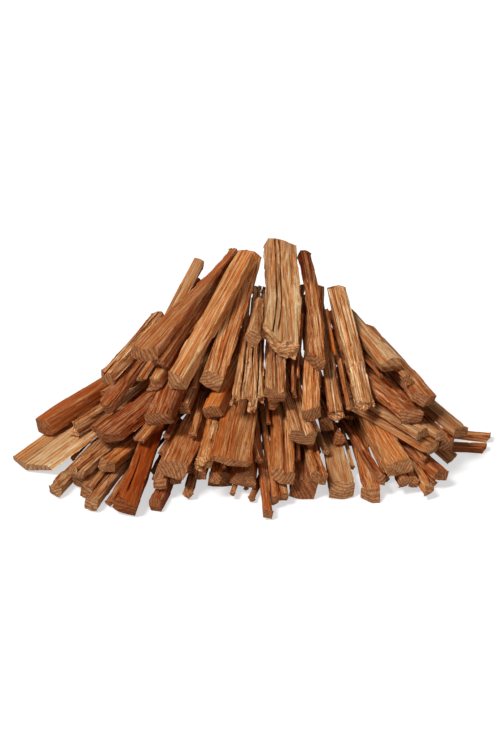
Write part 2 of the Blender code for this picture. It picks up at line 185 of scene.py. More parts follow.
# The woods: colour of the early and the late part of each year's growth, and of its soaked streaks.
WOODS = {
    "pale_tan_wood": ((0.66, 0.40, 0.185), (0.50, 0.155, 0.034), (0.56, 0.155, 0.023)),
    "honey_wood": ((0.62, 0.31, 0.115), (0.47, 0.118, 0.021), (0.53, 0.128, 0.016)),
    "amber_wood": ((0.57, 0.225, 0.062), (0.41, 0.083, 0.012), (0.47, 0.093, 0.010)),
    "russet_wood": ((0.49, 0.165, 0.045), (0.31, 0.058, 0.009), (0.36, 0.062, 0.007)),
}
WEATHERED = (0.40, 0.20, 0.105)
TUFTS = (0.61, 0.385, 0.205)  # the pale tips of broken fibres
SAWN_PALE = (0.46, 0.255, 0.14)
SAWN_DARK = (0.16, 0.058, 0.019)


# Reading the sticks off the frame.

def triangles_of(node):
    """The node's triangles: an array of (triangle, corner, xyz)."""
    mesh = node.data
    mesh.calc_loop_triangles()
    places = np.empty(len(mesh.vertices) * 3)
    mesh.vertices.foreach_get("co", places)
    corners = np.empty(len(mesh.loop_triangles) * 3, np.int32)
    mesh.loop_triangles.foreach_get("vertices", corners)
    return places.reshape(-1, 3)[corners].reshape(-1, 3, 3)


def unit(vector):
    return vector / np.linalg.norm(vector)


def facings(triangles):
    """Each triangle's normal, as long as its area."""
    return np.cross(triangles[:, 1] - triangles[:, 0], triangles[:, 2] - triangles[:, 0]) / 2


def middle_of(triangles):
    areas = np.linalg.norm(facings(triangles), axis=1)
    return (triangles.mean(axis=1) * areas[:, None]).sum(axis=0) / areas.sum()


def long_direction(triangles):
    """The direction that the solid is long in, towards the heart of the heap."""
    areas = np.linalg.norm(facings(triangles), axis=1)
    middle = middle_of(triangles)
    apart = triangles.mean(axis=1) - middle
    spread = (apart * areas[:, None]).T @ apart
    along = np.linalg.eigh(spread)[1][:, -1]
    heart = np.array((0, cad_box[1].y, 0))
    return along if along @ (heart - middle) > 0 else -along


def patches(triangles):
    """Groups of triangles that touch each other."""
    groups = []
    for triangle in triangles:
        corners = {tuple(corner) for corner in np.round(triangle, 6)}
        touching = [group for group in groups if group[0] & corners]
        members = [triangle]
        for group in touching:
            groups.remove(group)
            corners |= group[0]
            members += group[1]
        groups.append((corners, members))
    return [np.array(members) for corners, members in groups]


def ends(triangles, along, way):
    """(middle, normal) of each stick's end on one side of the solid, from left to right."""
    normals = facings(triangles)
    areas = np.linalg.norm(normals, axis=1)
    facing = way * (normals @ along) / areas > END_FACING
    beyond = way * ((triangles.mean(axis=1) - middle_of(triangles)) @ along) > 0
    found = []
    for patch in patches(triangles[facing & beyond]):
        normal = facings(patch).sum(axis=0)
        if np.linalg.norm(normal) > LEAST_END:
            found.append((middle_of(patch), unit(normal)))
    aside = np.cross(along, (0, 0, 1))
    return sorted(found, key=lambda end: end[0] @ aside)


def spread_over(found, count):
    """The ends, with those between the outermost filled in evenly where some have grown together."""
    if len(found) == count:
        return found
    steps = np.linspace(0, len(found) - 1, count)
    middles = np.array([middle for middle, normal in found])
    places = np.column_stack([np.interp(steps, range(len(found)), axis) for axis in middles.T])
    return [(place, found[0][1]) for place in places]


class Lie:
    """Where one stick lies: its ends, its long direction, and the directions to its side and up."""

    def __init__(self, foot, head):
        self.foot, self.foot_normal = foot
        self.head, self.head_normal = head
        self.along = unit(self.head - self.foot)
        self.length = np.linalg.norm(self.head - self.foot)
        self.side = unit(np.cross(self.along, (0, 0, 1)))
        self.up = np.cross(self.side, self.along)

    def plane(self, share):
        """Point, normal, side and up directions of the section at this share of the length."""
        inset = END_INSET / self.length
        share = inset + (1 - 2 * inset) * share
        point = self.foot + (self.head - self.foot) * share
        normal = unit(self.head_normal * share - self.foot_normal * (1 - share))
        side = unit(self.side - normal * (self.side @ normal))
        return point, normal, side, np.cross(side, normal)


def lies_in(triangles):
    """The lie of each stick that this solid stands for."""
    along = long_direction(triangles)
    feet = ends(triangles, along, -1)
    heads = ends(triangles, along, 1)
    if len(feet) == 2 and len(heads) == 1:
        feet = [min(feet, key=lambda end: end[0] @ along)]
    count = max(len(feet), len(heads))
    return [Lie(*pair) for pair in zip(spread_over(feet, count), spread_over(heads, count))]


def slice_through(triangles, point, normal, side, up):
    """The solid's outline in this plane: segments as (segment, end, side and up)."""
    heights = (triangles - point) @ normal
    cut = triangles[(heights.min(axis=1) < 0) & (heights.max(axis=1) > 0)]
    heights = (cut - point) @ normal
    after = np.roll(np.arange(3), -1)
    crosses = (heights < 0) != (heights[:, after] < 0)
    shares = heights / np.where(crosses, heights - heights[:, after], 1)
    places = cut + (cut[:, after] - cut) * shares[..., None]
    segments = places[crosses].reshape(-1, 2, 3) - point
    return np.stack((segments @ side, segments @ up), axis=-1)


def felt_outline(segments, centre, walls):
    """The outline felt from the centre in each direction, no further than the walls to neighbours."""
    angles = np.linspace(-math.pi / 2, 1.5 * math.pi, DIRECTIONS, endpoint=False)
    ways = np.column_stack((np.cos(angles), np.sin(angles)))
    start = segments[:, 0] - centre
    run = segments[:, 1] - segments[:, 0]
    across = ways[:, :1] * run[:, 1] - ways[:, 1:] * run[:, 0]
    across = np.where(np.abs(across) < 1e-12, 1e-12, across)
    reach = (start[:, 0] * run[:, 1] - start[:, 1] * run[:, 0]) / across
    place = (start[:, 0] * ways[:, 1:] - start[:, 1] * ways[:, :1]) / across
    reach = np.where((reach > 0) & (place > -1e-6) & (place < 1 + 1e-6), reach, np.inf).min(axis=1)
    found = np.isfinite(reach)
    reach = np.interp(angles, angles[found], reach[found], period=math.tau)
    for towards, limit in walls:
        facing = ways @ towards
        reach = np.minimum(reach, np.where(facing > 0.01, limit / np.maximum(facing, 0.01), np.inf))
    return centre + ways * reach[:, None]


def centroid(outline):
    after = np.roll(outline, -1, axis=0)
    weights = outline[:, 0] * after[:, 1] - after[:, 0] * outline[:, 1]
    return ((outline + after) * weights[:, None]).sum(axis=0) / (3 * weights.sum())


def walls_between(lie, lies, point, normal, side, up):
    """The planes halfway to the neighbouring sticks of a sheaf, as (direction, distance)."""
    walls = []
    for other in lies:
        if other is not lie:
            crossing = (point - other.foot) @ normal / (other.along @ normal)
            apart = other.foot + other.along * crossing - point
            apart = np.array((apart @ side, apart @ up))
            distance = np.linalg.norm(apart)
            walls.append((apart / distance, (distance - MEMBER_GAP) / 2))
    return walls


def section(triangles, lie, lies, share):
    """The stick's outline at this share of its length, in side and up, and its plane."""
    point, normal, side, up = lie.plane(share)
    segments = slice_through(triangles, point, normal, side, up)
    walls = walls_between(lie, lies, point, normal, side, up)
    outline = felt_outline(segments, np.zeros(2), walls)
    middle = centroid(outline)
    walls = [(towards, limit - middle @ towards) for towards, limit in walls]
    return felt_outline(segments, middle, walls), point, side, up


# Finding room for the sticks deep in the heap.

UP = Vector((0, 0, 1))
FAR = 1.0
BESIDE = 40 * MM  # how near a solid is to shelter a point from the side
PROBES = (0.5, 0.25, 0.75, 0.0, 1.0, 0.12, 0.38, 0.62, 0.88, 0.06, 0.19, 0.31, 0.44, 0.56, 0.69, 0.81, 0.94)


def on_line(start, end, share):
    return start + (end - start) * share


def line_gap(first, second):
    """The smallest distance between two lines, each given by its ends, felt at the probes."""
    points = np.array([on_line(*first, share) for share in PROBES])
    start, run = np.array(second[0]), np.array(second[1] - second[0])
    shares = np.clip((points - start) @ run / (run @ run), 0, 1)
    return np.linalg.norm(points - start - shares[:, None] * run, axis=1).min()


class Room:
    """The free room between the frame's solids."""

    def __init__(self):
        corners = []
        self.directions = []
        for node in frame["nodes"].values():
            triangles = triangles_of(node)
            corners += triangles.reshape(-1, 3).tolist()
            self.directions += [Vector(long_direction(triangles))] * len(triangles)
        faces = np.arange(len(corners)).reshape(-1, 3).tolist()
        self.solids = BVHTree.FromPolygons(corners, faces)

    def at(self, point):
        """How far a point is from the solids and the ground, below 0 inside them."""
        place, normal, face, distance = self.solids.find_nearest(point)
        outside = (point - place).dot(normal) > 0
        return min(distance if outside else -distance, point.z - cad_box[0].z)

    def along(self, foot, head, least):
        """The widest half width that is free all along a line, 0 where it is under the least."""
        width = DEEP_WIDEST
        for share in PROBES:
            width = min(width, self.at(on_line(foot, head, share)) - DEEP_CLEAR)
            if width < least:
                return 0.0
        return width

    def meets(self, point, way, reach=FAR):
        return self.solids.ray_cast(point, way, reach)[0] is not None

    def sheltered(self, point, along):
        """Whether solids stand on both sides of the point, or on one side and over it."""
        aside = along.cross(UP).normalized()
        sides = [self.meets(point, way, BESIDE) or self.meets(point, way + UP, BESIDE)
                 for way in (aside, -aside)]
        return all(sides) or (any(sides) and self.meets(point, UP))

    def along_neighbours(self, point):
        """The long direction of the stick nearest to the point."""
        place, normal, face, distance = self.solids.find_nearest(point)
        return self.directions[face]


def line_through(middle, along, chance):
    """A line of a stick's length through the point, about as the sticks around it lie."""
    along = (along + Vector(chance.normal(0, DEEP_STRAY, 3))).normalized()
    length = chance.choice(DEEP_LENGTHS) * MM
    foot = middle - along * length * chance.uniform(0.05, 0.95)
    return foot, foot + along * length


def shifted(line, chance):
    """The line with its ends moved a little."""
    return tuple(end + Vector(chance.normal(0, DEEP_SHIFT, 3)) for end in line)


def lie_between(room, middle, chance):
    """The roomiest line found through this point, and its free half width."""
    along = room.along_neighbours(middle)
    widest, best = 0.0, None
    for _ in range(DEEP_LINES):
        line = line_through(middle, along, chance)
        width = room.along(*line, max(widest, DEEP_SLIMMEST))
        if width > widest:
            widest, best = width, line
    for _ in range(DEEP_SHIFTS if best else 0):
        line = shifted(best, chance)
        width = room.along(*line, widest)
        if width > widest:
            widest, best = width, line
    return widest, best


def gaps_filled(room, line):
    """The share of the line that is seen from the front with nothing behind it."""
    seen = 0
    for share in PROBES:
        point = on_line(*line, share)
        seen += not (room.meets(point, TO_CAMERA) or room.meets(point, -TO_CAMERA))
    return seen / len(PROBES)


def inside(line):
    """Whether both ends lie inside the heap's box."""
    low, high = cad_box
    return all(min(*(end - low), *(high - end)) > 0 for end in line)


def held(room, width, line):
    """Whether a stick or the ground is near both ends, so that the stick doesn't hang in the air."""
    return all(room.at(end) < width + DEEP_HOLD for end in line)


def covered(room, line):
    """Whether the line lies deep in the heap, also a little way past its ends."""
    foot, head = line
    past = (head - foot).normalized() * DEEP_RECESS
    if not (room.sheltered(foot - past, past) and room.sheltered(head + past, past)):
        return False
    sheltered = [room.sheltered(on_line(*line, share), past) for share in PROBES]
    return np.mean(sheltered) > DEEP_SHELTER


def free_lines(room, chance):
    """Lines that a deep stick could lie on, as (worth, half width, line), the best first."""
    low, high = cad_box
    found = []
    for _ in range(DEEP_TRIES):
        middle = Vector(chance.uniform(low, high))
        middle.z = low.z + (high.z - low.z) * chance.uniform() ** LOW_DOWN
        if room.at(middle) > DEEP_SLIMMEST and room.sheltered(middle, room.along_neighbours(middle)):
            width, line = lie_between(room, middle, chance)
            if width and inside(line) and held(room, width, line) and covered(room, line):
                length = (line[1] - line[0]).length
                filled = PLAIN_WORTH + GAP_WORTH * gaps_filled(room, line)
                found.append((width * math.sqrt(length) * filled, width, line))
    return sorted(found, key=lambda place: -place[0])


def deep_lies(chance):
    """The lie and half width of each deep stick. Each is as wide as those before it leave room for."""
    laid = []
    for _, width, line in free_lines(Room(), chance):
        for other_width, other in laid:
            apart = min(line_gap(line, other), line_gap(other, line))
            width = min(width, apart - other_width - DEEP_CLEAR)
        if width >= DEEP_SLIMMEST and len(laid) < DEEP_MOST:
            laid.append((width, line))
    for width, (foot, head) in laid:
        along = unit(np.array(head - foot))
        yield Lie((np.array(foot), -along), (np.array(head), along)), width


def split_section(lie, width, chance):
    """The section of a split stick at each share of its length, as section() gives it."""
    count = chance.integers(4, 7)
    angles = (np.arange(count) + chance.uniform(-0.3, 0.3, count)) * math.tau / count
    reach = chance.uniform(0.72, 0.96, count)
    start = chance.uniform(0, 30)

    def section_at(share):
        wander = 0.08 * uneven(np.arange(count) * 1.7, share * 3, start)
        corners = np.column_stack((np.cos(angles), np.sin(angles))) * ((reach + wander) * width)[:, None]
        lengths = closed_lengths(corners)
        round_by = np.linspace(0, lengths[-1], DIRECTIONS, endpoint=False)
        whole = np.vstack((corners, corners[:1]))
        outline = np.column_stack([np.interp(round_by, lengths, axis) for axis in whole.T])
        point, normal, side, up = lie.plane(share)
        return outline, point, side, up

    return section_at


# Shaping a stick.

NOISE = np.random.default_rng(11).uniform(-1, 1, (32, 32, 32))


def uneven(*places):
    """Smooth seeded unevenness from -1 to 1, one bump for each unit of the places."""
    places = np.stack(np.broadcast_arrays(*places), axis=-1)
    cell = np.floor(places).astype(int)
    part = places - cell
    part = part * part * (3 - 2 * part)
    total = 0
    for corner in np.ndindex(2, 2, 2):
        weight = np.where(corner, part, 1 - part).prod(axis=-1)
        total = total + weight * NOISE[tuple(np.moveaxis((cell + corner) % len(NOISE), -1, 0))]
    return total


def rise(value, start, end):
    """0 before start and 1 after end, smooth between."""
    share = np.clip((value - start) / (end - start), 0, 1)
    return share * share * (3 - 2 * share)


def closed_lengths(outline):
    """How far round the outline each point lies, with the whole length last."""
    steps = np.linalg.norm(np.roll(outline, -1, axis=0) - outline, axis=1)
    return np.concatenate(([0], np.cumsum(steps)))


def bends(outline):
    """The outline's turn at each point, in radians, over a few points each way."""
    reach = 3
    before = outline - np.roll(outline, reach, axis=0)
    after = np.roll(outline, -reach, axis=0) - outline
    turn = before[:, 0] * after[:, 1] - before[:, 1] * after[:, 0]
    return np.abs(np.arctan2(turn, (before * after).sum(axis=1)))


def columns_on(outline, shares):
    """Points at these shares round the outline, the nearest one moved onto each sharp corner.
    Also returns how sharp the outline is at each point, from 0 to 1."""
    lengths = closed_lengths(outline)
    whole = np.vstack((outline, outline[:1]))
    round_by = shares * lengths[-1]
    points = np.column_stack([np.interp(round_by, lengths, axis) for axis in whole.T])
    turn = bends(outline)
    beside = np.maximum(np.roll(turn, 1), np.roll(turn, -1))
    corners = np.flatnonzero((turn > 0.5) & (turn >= beside))
    sharpness = np.zeros(len(shares))
    for corner in corners:
        away = np.abs(round_by - lengths[corner])
        away = np.minimum(away, lengths[-1] - away)
        points[np.argmin(away)] = outline[corner]
        sharpness = np.maximum(sharpness, 1 - away / CORNER)
    return points, sharpness


def outward(points):
    """The outline's outward directions at its points, in side and up."""
    run = np.roll(points, -1, axis=0) - np.roll(points, 1, axis=0)
    normal = np.column_stack((run[:, 1], -run[:, 0]))
    return normal / np.maximum(np.linalg.norm(normal, axis=1), 1e-9)[:, None]


class Grid:
    """The points of a stick's sides as (section, column), with what carving needs to know."""

    def __init__(self, section_at, length, fineness, crack_places):
        column, station = fineness
        steps = np.linspace(0, 1, round(length / station))
        self.shares = steps - CROWDING * np.sin(math.tau * steps) / math.tau
        sections = [section_at(share) for share in self.shares]
        girth = np.mean([closed_lengths(outline)[-1] for outline, *plane in sections])
        columns = crowded(max(18, round(girth / column)), crack_places, girth)
        self.girth = girth
        self.columns = columns
        self.points = np.empty((len(steps), len(columns), 3))
        self.normals = np.empty_like(self.points)
        self.corners = np.empty(self.points.shape[:2])
        self.centres = np.empty((len(steps), 3))
        for row, (outline, point, side, up) in enumerate(sections):
            flat, self.corners[row] = columns_on(outline, columns)
            away = outward(flat)
            self.points[row] = point + flat[:, :1] * side + flat[:, 1:] * up
            self.normals[row] = away[:, :1] * side + away[:, 1:] * up
            middle = flat.mean(axis=0)
            self.centres[row] = point + middle[0] * side + middle[1] * up
        self.thickness = np.linalg.norm(self.points - self.centres[:, None], axis=2)


def crowded(count, places, girth):
    """Even shares round a section, closer together at the cracks."""
    fine = np.linspace(0, 1, 2000)
    density = np.ones_like(fine)
    for place in places:
        density += 3 * np.exp(-(((fine - place) * girth / (1.6 * MM)) ** 2))
    total = np.cumsum(density)
    total = (total - total[0]) / (total[-1] - total[0])
    return np.interp(np.linspace(0, 1, count, endpoint=False), total, fine)


class Growth(NamedTuple):
    """How the stick lay in its tree."""

    pith: np.ndarray  # side and up, metres from the stick's foot to the middle of the tree
    lean: np.ndarray  # metres to the side and up per metre along
    start: np.ndarray  # where this stick begins in the unevenness
    ring: float  # metres from ring to ring


def growth_of(look, chance):
    angle = chance.uniform(0, math.tau)
    distance = chance.uniform(28, 90) * MM
    pith = distance * np.array((math.cos(angle), math.sin(angle)))
    lean = chance.uniform(-0.05, 0.05, 2)
    return Growth(pith, lean, chance.uniform(0, 30, 3), look.ring * MM)


def fibre_places(points, lie):
    """Side, up and along of each point from the stick's foot, in metres."""
    apart = points - lie.foot
    return np.stack((apart @ lie.side, apart @ lie.up, apart @ lie.along), axis=-1)


def ring_places(fibres, growth):
    """Side and up from the pith, in rings, warped as real growth is, and the same along."""
    side, up, along = np.moveaxis(fibres, -1, 0)
    start = growth.start
    sway = 1.8 * MM
    side_sway = sway * uneven(along * 16 + start[0], side * 40, up * 40 + start[1])
    up_sway = sway * uneven(along * 16 + start[2], side * 40 + start[0], up * 40)
    side = side - growth.pith[0] + growth.lean[0] * along + side_sway
    up = up - growth.pith[1] + growth.lean[1] * along + up_sway
    year = np.hypot(side, up) / growth.ring
    warp = 1 + 0.9 * uneven(year * 0.35 + start[1], start[0], start[2]) / year
    return np.stack((side * warp, up * warp, along), axis=-1) / growth.ring


def ring_ridge(rings):
    """1 on the hard late wood of each ring, 0 on its soft early wood."""
    year = np.hypot(rings[..., 0], rings[..., 1])
    part = year - np.floor(year)
    return np.exp(-(((part - 0.78) / 0.16) ** 2))


def crack_depth(grid, places, reach, chance):
    """Share of full depth of the cracks that run along the stick."""
    deep = np.zeros(grid.points.shape[:2])
    for place in places:
        start = chance.uniform(-0.15, 0.1)
        end = start + reach * chance.uniform(0.65, 1.35)
        shares = grid.shares[:, None]
        span = rise(shares, start, start + 0.12) * (1 - rise(shares, end - 0.2, end))
        away = np.abs(grid.columns - place) * grid.girth
        width = (0.9 + 0.5 * uneven(grid.shares * 9 + place * 20, 0, 0)[:, None]) * MM
        deep = np.maximum(deep, span * np.clip(1 - away / width, 0, 1) ** 0.6)
    return deep


def face_tones(grid, lie, start):
    """From -1 to 1, alike over each split face and different on the next."""
    side = grid.normals @ lie.side
    up = grid.normals @ lie.up
    return uneven(side * 1.6 + start[0], up * 1.6 + start[1], start[2])


class Wear(NamedTuple):
    """What has shaped each point of a stick's sides. Noise goes from -1 to 1, the rest from 0 to 1."""

    late: np.ndarray  # hard late wood
    ridges: np.ndarray
    threads: np.ndarray
    scrape: np.ndarray
    broad: np.ndarray
    flake: np.ndarray
    deep_flake: np.ndarray
    chips: np.ndarray
    waves: np.ndarray
    cracks: np.ndarray


def fibrous(fibres, start, turn, bumps_across, bumps_along):
    """Unevenness with this many bumps per metre. The turn gives each kind a beginning of its own."""
    side, up, along = np.moveaxis(fibres, -1, 0)
    begin = np.roll(start, -turn)
    return uneven(side * bumps_across + begin[0], up * bumps_across + begin[1],
                  along * bumps_along + begin[2])


def wear_of(grid, lie, look, growth, crack_places, chance):
    fibres = fibre_places(grid.points, lie)
    side, up, along = np.moveaxis(fibres, -1, 0)
    start = growth.start
    ridges = fibrous(fibres, start, 0, bumps_across=300, bumps_along=13)
    threads = fibrous(fibres, start, 1, bumps_across=800, bumps_along=50)
    scrape = fibrous(fibres, start, 2, bumps_across=90, bumps_along=10)
    broad = fibrous(fibres, start, 1, bumps_across=70, bumps_along=7)
    ragged = scrape + 0.3 * ridges + 0.2 * threads
    chip = uneven(side * 130 + start[1], up * 130 + start[0], along * 60 + start[2]) + 0.45 * threads
    wave = uneven(side * 60 + start[0], up * 60, along * 34 + start[1])
    return Wear(
        late=ring_ridge(ring_places(fibres, growth)),
        ridges=ridges,
        threads=threads,
        scrape=scrape,
        broad=broad,
        flake=rise(ragged, 0.32 - 0.5 * look.torn, 0.37 - 0.5 * look.torn),
        deep_flake=rise(ragged, 0.58 - 0.35 * look.torn, 0.63 - 0.35 * look.torn),
        chips=grid.corners * rise(chip, 0.16 - 0.5 * look.torn, 0.3 - 0.5 * look.torn),
        waves=grid.corners * (0.5 + 0.5 * wave),
        cracks=crack_depth(grid, crack_places, look.crack_reach, chance),
    )


def depth_of(wear, look, thickness):
    """How far each point goes in, in metres."""
    depth = look.ridged * (0.95 * (1 - wear.late) + 0.5 * (0.5 - 0.5 * wear.ridges))
    depth = depth + (0.08 + 0.2 * look.ridged) * (1 - wear.threads)
    depth = depth + (0.5 + 0.7 * look.torn) * wear.flake + 1.3 * look.torn * wear.deep_flake
    depth = depth + (1.4 + 1.6 * look.torn) * wear.chips + 0.5 * wear.waves
    depth = np.minimum(depth * MM, MOST_CARVED * thickness)
    return depth + np.minimum(CRACK_DEPTH, MOST_CRACKED * thickness) * wear.cracks


def finish_of(wear, grid, lie, look, growth):
    """Light, resin and weather of each point, with paler edges (partly a painted highlight) and painted
    shade in the cracks.
    """
    tones = face_tones(grid, lie, growth.start)
    light = 1 + 0.2 * wear.broad + 0.12 * wear.ridges * look.ridged + 0.12 * wear.flake + 0.25 * tones
    # Paler along sharp edges: partly worn pale edges, partly a painted highlight along the edges.
    light = light * (1 + grid.corners ** 2 * (0.18 + 0.35 * look.rim))
    # Cut by up to 0.8 in the cracks: painted shade in the crack recesses.
    light = look.light * light * (1 + 0.2 * wear.chips) * (1 - 0.8 * wear.cracks)

    side = fibre_places(grid.points, lie)[..., 0]
    stained = rise(np.sign(look.stain) * side / np.abs(side).max(), -0.25, 0.35) * abs(look.stain)
    resin = look.resin * (0.7 + 1.4 * rise(wear.broad, -0.1, 0.5)) + 0.3 * tones + 0.6 * stained
    # The 0.6 of crack depth added to the resin is painted shade, darker and redder in the cracks.
    resin = resin + 0.6 * wear.cracks - 0.5 * look.rim * grid.corners - 0.25 * wear.flake

    weather = look.weather * (0.6 + 0.9 * rise(-wear.scrape, -0.2, 0.5)) - 0.35 * tones
    if look.charred:
        reach = grid.shares[:, None] + 0.05 * wear.ridges
        burnt = rise(reach, 1 - look.charred, 1 - 0.75 * look.charred)
        burnt = burnt * (0.55 + 0.45 * rise(-wear.ridges, -0.4, 0.3))
        light = light * (1 - 0.8 * burnt)
        weather = weather + 0.9 * burnt
    return np.stack((light, np.clip(resin, 0, 1), np.clip(weather, 0, 1)), axis=-1)


class End:
    """How one end was made: sawn, split off at a slant on up to two sides, and torn."""

    def __init__(self, rim, lie, growth, reach, slant, chance):
        self.rim = rim.copy()
        self.lie = lie
        self.start = growth.start
        self.reach = reach * MM
        self.middle = fibre_places(rim, lie)[:, :2].mean(axis=0)
        angles = chance.uniform(0, math.tau, 2)
        slopes = MOST_SLANT * chance.uniform(0, 1, 2) ** 1.3
        chosen = np.array((np.cos(angles), np.sin(angles))) * slopes
        self.slants = np.column_stack((chosen, (slant, 0)))

    def back(self, points):
        """How far each point of the square end is set back."""
        side, up, along = np.moveaxis(fibre_places(points, self.lie), -1, 0)
        flat = np.stack((side, up), axis=-1) - self.middle
        slanted = np.maximum((flat @ self.slants).max(axis=-1), 0)
        coarse = uneven(side * 210 + self.start[0], up * 210 + self.start[1], self.start[2])
        fine = uneven(side * 620 + self.start[2], up * 620 + self.start[0], self.start[1])
        torn = self.reach * np.clip(0.5 + 0.9 * coarse + 0.25 * fine, 0, 1.5)
        return slanted + torn + END_ROUGHNESS * (1 + 0.6 * coarse + 0.4 * fine)

    def cap(self, inwards):
        """Rings of points that close the end, from its edge to its middle."""
        middle = self.rim.mean(axis=0)
        rings = np.array([middle + (self.rim - middle) * share for share in CAP_RINGS])
        rings = rings + inwards * self.back(rings)[..., None]
        return rings, rings[-1].mean(axis=0)


def slide_columns(grid, foot_back, head_back):
    """Shortens each column at both its ends."""
    length = np.linalg.norm(grid.centres[-1] - grid.centres[0])
    for column, (foot, head) in enumerate(zip(foot_back / length, head_back / length)):
        wanted = foot + (1 - head - foot) * grid.shares
        for values in (grid.points, grid.normals):
            line = values[:, column].copy()
            for axis in range(3):
                values[:, column, axis] = np.interp(wanted, grid.shares, line[:, axis])


def side_faces(count, columns):
    first = np.arange(count - 1)[:, None] * columns
    here = np.arange(columns)
    there = (here + 1) % columns
    corners = (first + here, first + there, first + columns + there, first + columns + here)
    return np.stack(corners, axis=-1).reshape(-1, 4)


class Shape:
    """Points, faces and looks of one piece, put together part by part."""

    def __init__(self, grain):
        self.grain = grain
        self.points, self.rings, self.fibres, self.colour_and_painted_light = [], [], [], []
        self.faces, self.sawn = [], []
        self.count = 0

    def add_points(self, points, lie, growth, colour_and_painted_light):
        points = points.reshape(-1, 3)
        fibres = fibre_places(points, lie)
        self.points.append(points)
        self.rings.append(ring_places(fibres, growth))
        self.fibres.append(fibres + growth.start)
        self.colour_and_painted_light.append(np.broadcast_to(colour_and_painted_light, points.shape).reshape(-1, 3))
        first = self.count
        self.count += len(points)
        return first

    def add_faces(self, faces, sawn=False):
        self.faces += [tuple(face) for face in faces]
        self.sawn += [sawn] * len(faces)


def add_cap(shape, edge, rings, middle, outward_last, lie, growth, colour_and_painted_light, sawn):
    """Faces from the edge's points over the rings to the middle. edge is its first point's number."""
    columns = rings.shape[1]
    first = shape.add_points(rings, lie, growth, colour_and_painted_light)
    last = shape.add_points(middle[None], lie, growth, colour_and_painted_light)
    starts = [edge] + [first + row * columns for row in range(len(rings))]
    here = np.arange(columns)
    there = (here + 1) % columns
    for outer, inner in zip(starts, starts[1:]):
        quads = np.column_stack((outer + here, outer + there, inner + there, inner + here))
        shape.add_faces(quads if outward_last else quads[:, ::-1], sawn)
    fan = np.column_stack((starts[-1] + here, starts[-1] + there, np.full(columns, last)))
    shape.add_faces(fan if outward_last else fan[:, ::-1], sawn)


def add_sliver(shape, root, normal, lie, growth, chance, light):
    """A thin splinter that lies along the stick, lifted a little at its free tip."""
    way_along = chance.choice((-1, -1, -1, 1))
    beyond = (root - (lie.foot if way_along < 0 else lie.head)) @ lie.along * -way_along
    length = min(chance.uniform(7, 24) * MM, beyond - 2 * MM)
    if length < 4 * MM or normal[2] < LOWEST_SLIVER:
        return
    half_width = chance.uniform(0.4, 1.4) * MM
    half_thick = chance.uniform(0.2, 0.4) * MM
    way = unit(lie.along * way_along + normal * chance.uniform(0.02, 0.12))
    across = unit(np.cross(way, normal))
    lift = np.cross(across, way)
    curl = chance.uniform(0, 1.2) * MM
    steps = np.linspace(0, 1, 6)
    points = []
    for step in steps:
        slim = max(0.06, (1 - step) ** 0.7)
        middle = root - normal * 0.6 * MM + way * length * step + lift * curl * step * step
        points += [middle + across * half_width * slim, middle + lift * half_thick * slim,
                   middle - across * half_width * slim, middle - lift * half_thick * slim]
    colour_and_painted_light = (light, 0.08, 0.05)
    first = shape.add_points(np.array(points), lie, growth, colour_and_painted_light)
    faces = side_faces(len(steps), 4) + first
    start = np.array([[first, first + 1, first + 2, first + 3]])
    tip = start[:, ::-1] + 4 * (len(steps) - 1)
    outward_now = np.cross(points[1] - points[0], points[4] - points[0]) @ (points[0] - root) > 0
    faces = np.vstack((faces, start[:, ::-1], tip[:, ::-1]))
    shape.add_faces(faces if outward_now else faces[:, ::-1])


def add_slivers(shape, grid, look, lie, growth, chance):
    count = round(26 * look.torn ** 1.5 * lie.length / 0.2)
    weights = 0.15 + grid.corners
    rows, columns = grid.points.shape[:2]
    chosen = chance.choice(rows * columns, count, p=(weights / weights.sum()).ravel())
    for number in chosen:
        row, column = divmod(int(number), columns)
        normal = grid.normals[row, column]
        light = look.light * chance.uniform(0.95, 1.2)
        add_sliver(shape, grid.points[row, column], normal, lie, growth, chance, light)


def stick_shape(section_at, lie, look, fineness, chance):
    crack_places = tuple(chance.uniform(0.4, 0.62, look.cracks))
    growth = growth_of(look, chance)
    grid = Grid(section_at, lie.length, fineness, crack_places)
    foot = End(grid.points[0], lie, growth, look.foot, look.foot_slant, chance)
    head = End(grid.points[-1], lie, growth, 0, look.head_slant, chance)
    slide_columns(grid, foot.back(foot.rim), head.back(head.rim))
    wear = wear_of(grid, lie, look, growth, crack_places, chance)
    colour_and_painted_light = finish_of(wear, grid, lie, look, growth)
    grid.points -= grid.normals * depth_of(wear, look, grid.thickness)[..., None]
    shape = Shape(SMOOTH_GRAIN + RIDGED_GRAIN * look.ridged)
    rows, columns = grid.points.shape[:2]
    shape.add_points(grid.points, lie, growth, colour_and_painted_light.reshape(-1, 3))
    shape.add_faces(side_faces(rows, columns))
    burnt = 0.6 if look.charred else 0.0
    rings, middle = foot.cap(lie.along)
    end_finish = (look.light, look.resin * 0.5, min(1, look.weather + 0.1))
    add_cap(shape, 0, rings, middle, False, lie, growth, end_finish, look.foot < LEAST_TORN)
    rings, middle = head.cap(-lie.along)
    end_finish = (look.light * (1 - burnt), look.resin * 0.5, min(1, look.weather + 0.1))
    add_cap(shape, (rows - 1) * columns, rings, middle, True, lie, growth, end_finish, True)
    if look.torn >= 0.3:
        add_slivers(shape, grid, look, lie, growth, chance)
    return shape


